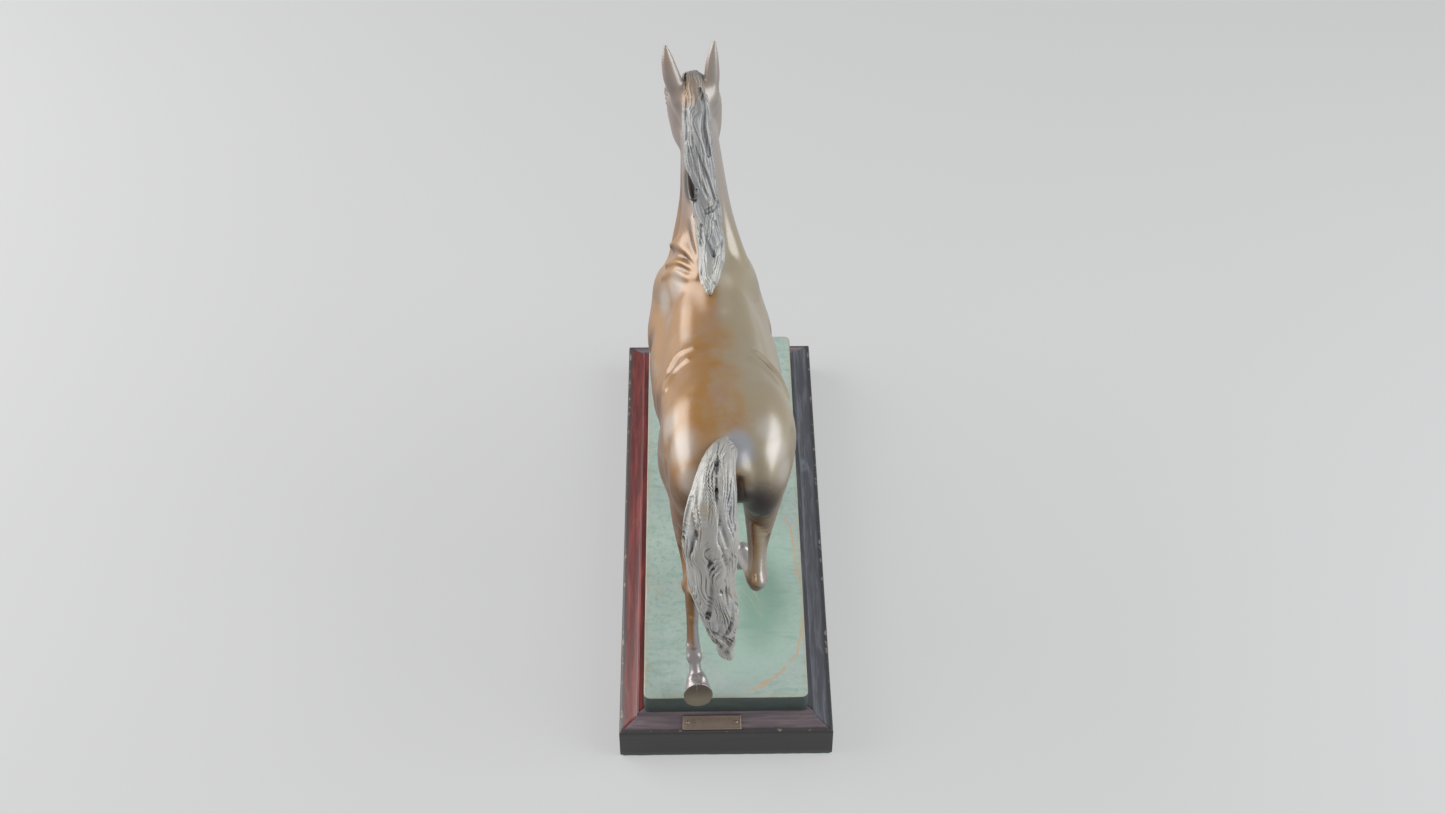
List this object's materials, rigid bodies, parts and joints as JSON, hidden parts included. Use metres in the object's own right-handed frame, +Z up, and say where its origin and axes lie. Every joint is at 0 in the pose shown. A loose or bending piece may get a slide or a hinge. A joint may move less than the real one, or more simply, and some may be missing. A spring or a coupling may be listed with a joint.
{
  "type": "bronze horse statuette",
  "caption": "Bronze statuette of a trotting horse with flowing mane and tail, on a patinated bronze ground slab and a mitred two-tone wooden plinth with a blank name plate.",
  "frame": {"origin": "centre of the baize underside, on the plane the plinth rests on", "axes": "+Z up, +Y the way the horse faces, along the plinth, +X to the horse's right"},
  "size_m": [0.15, 0.422, 0.4021],
  "materials": {
    "bronze": "polished bronze with a warm chestnut patina",
    "hair_bronze": "grey satin bronze, dark in the recesses",
    "slab_patina": "green verdigris patina, matt",
    "steel": "zinc-plated",
    "red_wood": "red mahogany stain under gloss lacquer",
    "dark_wood": "ebonised under satin lacquer",
    "rear_wood": "purple-brown stain, nearly black on the vertical face",
    "plain_wood": "unfinished",
    "plate_brass": "dull brass, blank",
    "baize": "felted wool"
  },
  "bodies": {
    "root": {"trunk_casting": "bronze", "neck_casting": "bronze", "head_casting": "bronze", "mane_casting": "hair_bronze", "tail_casting": "hair_bronze", "left_hind_leg": "bronze", "right_hind_leg": "bronze", "left_foreleg": "bronze", "right_foreleg": "bronze", "ground_slab": "slab_patina", "hoof_stud_heel": "steel", "hoof_stud_toe": "steel", "hoof_washer_heel": "steel", "hoof_washer_toe": "steel", "hoof_nut_heel": "steel", "hoof_nut_toe": "steel", "rear_rail": "rear_wood", "right_rail": "dark_wood", "front_rail": "rear_wood", "left_rail": "red_wood", "core_board": "plain_wood", "corner_block_rear_left": "plain_wood", "corner_block_front_left": "plain_wood", "corner_block_rear_right": "plain_wood", "corner_block_front_right": "plain_wood", "slab_screw_rear_left": "steel", "slab_screw_front_left": "steel", "slab_screw_rear_right": "steel", "slab_screw_front_right": "steel", "slab_washer_rear_left": "steel", "slab_washer_front_left": "steel", "slab_washer_rear_right": "steel", "slab_washer_front_right": "steel", "name_plate": "plate_brass", "plate_pin_left": "plate_brass", "plate_pin_right": "plate_brass", "baize_underside": "baize"}
  },
  "joints": []
}
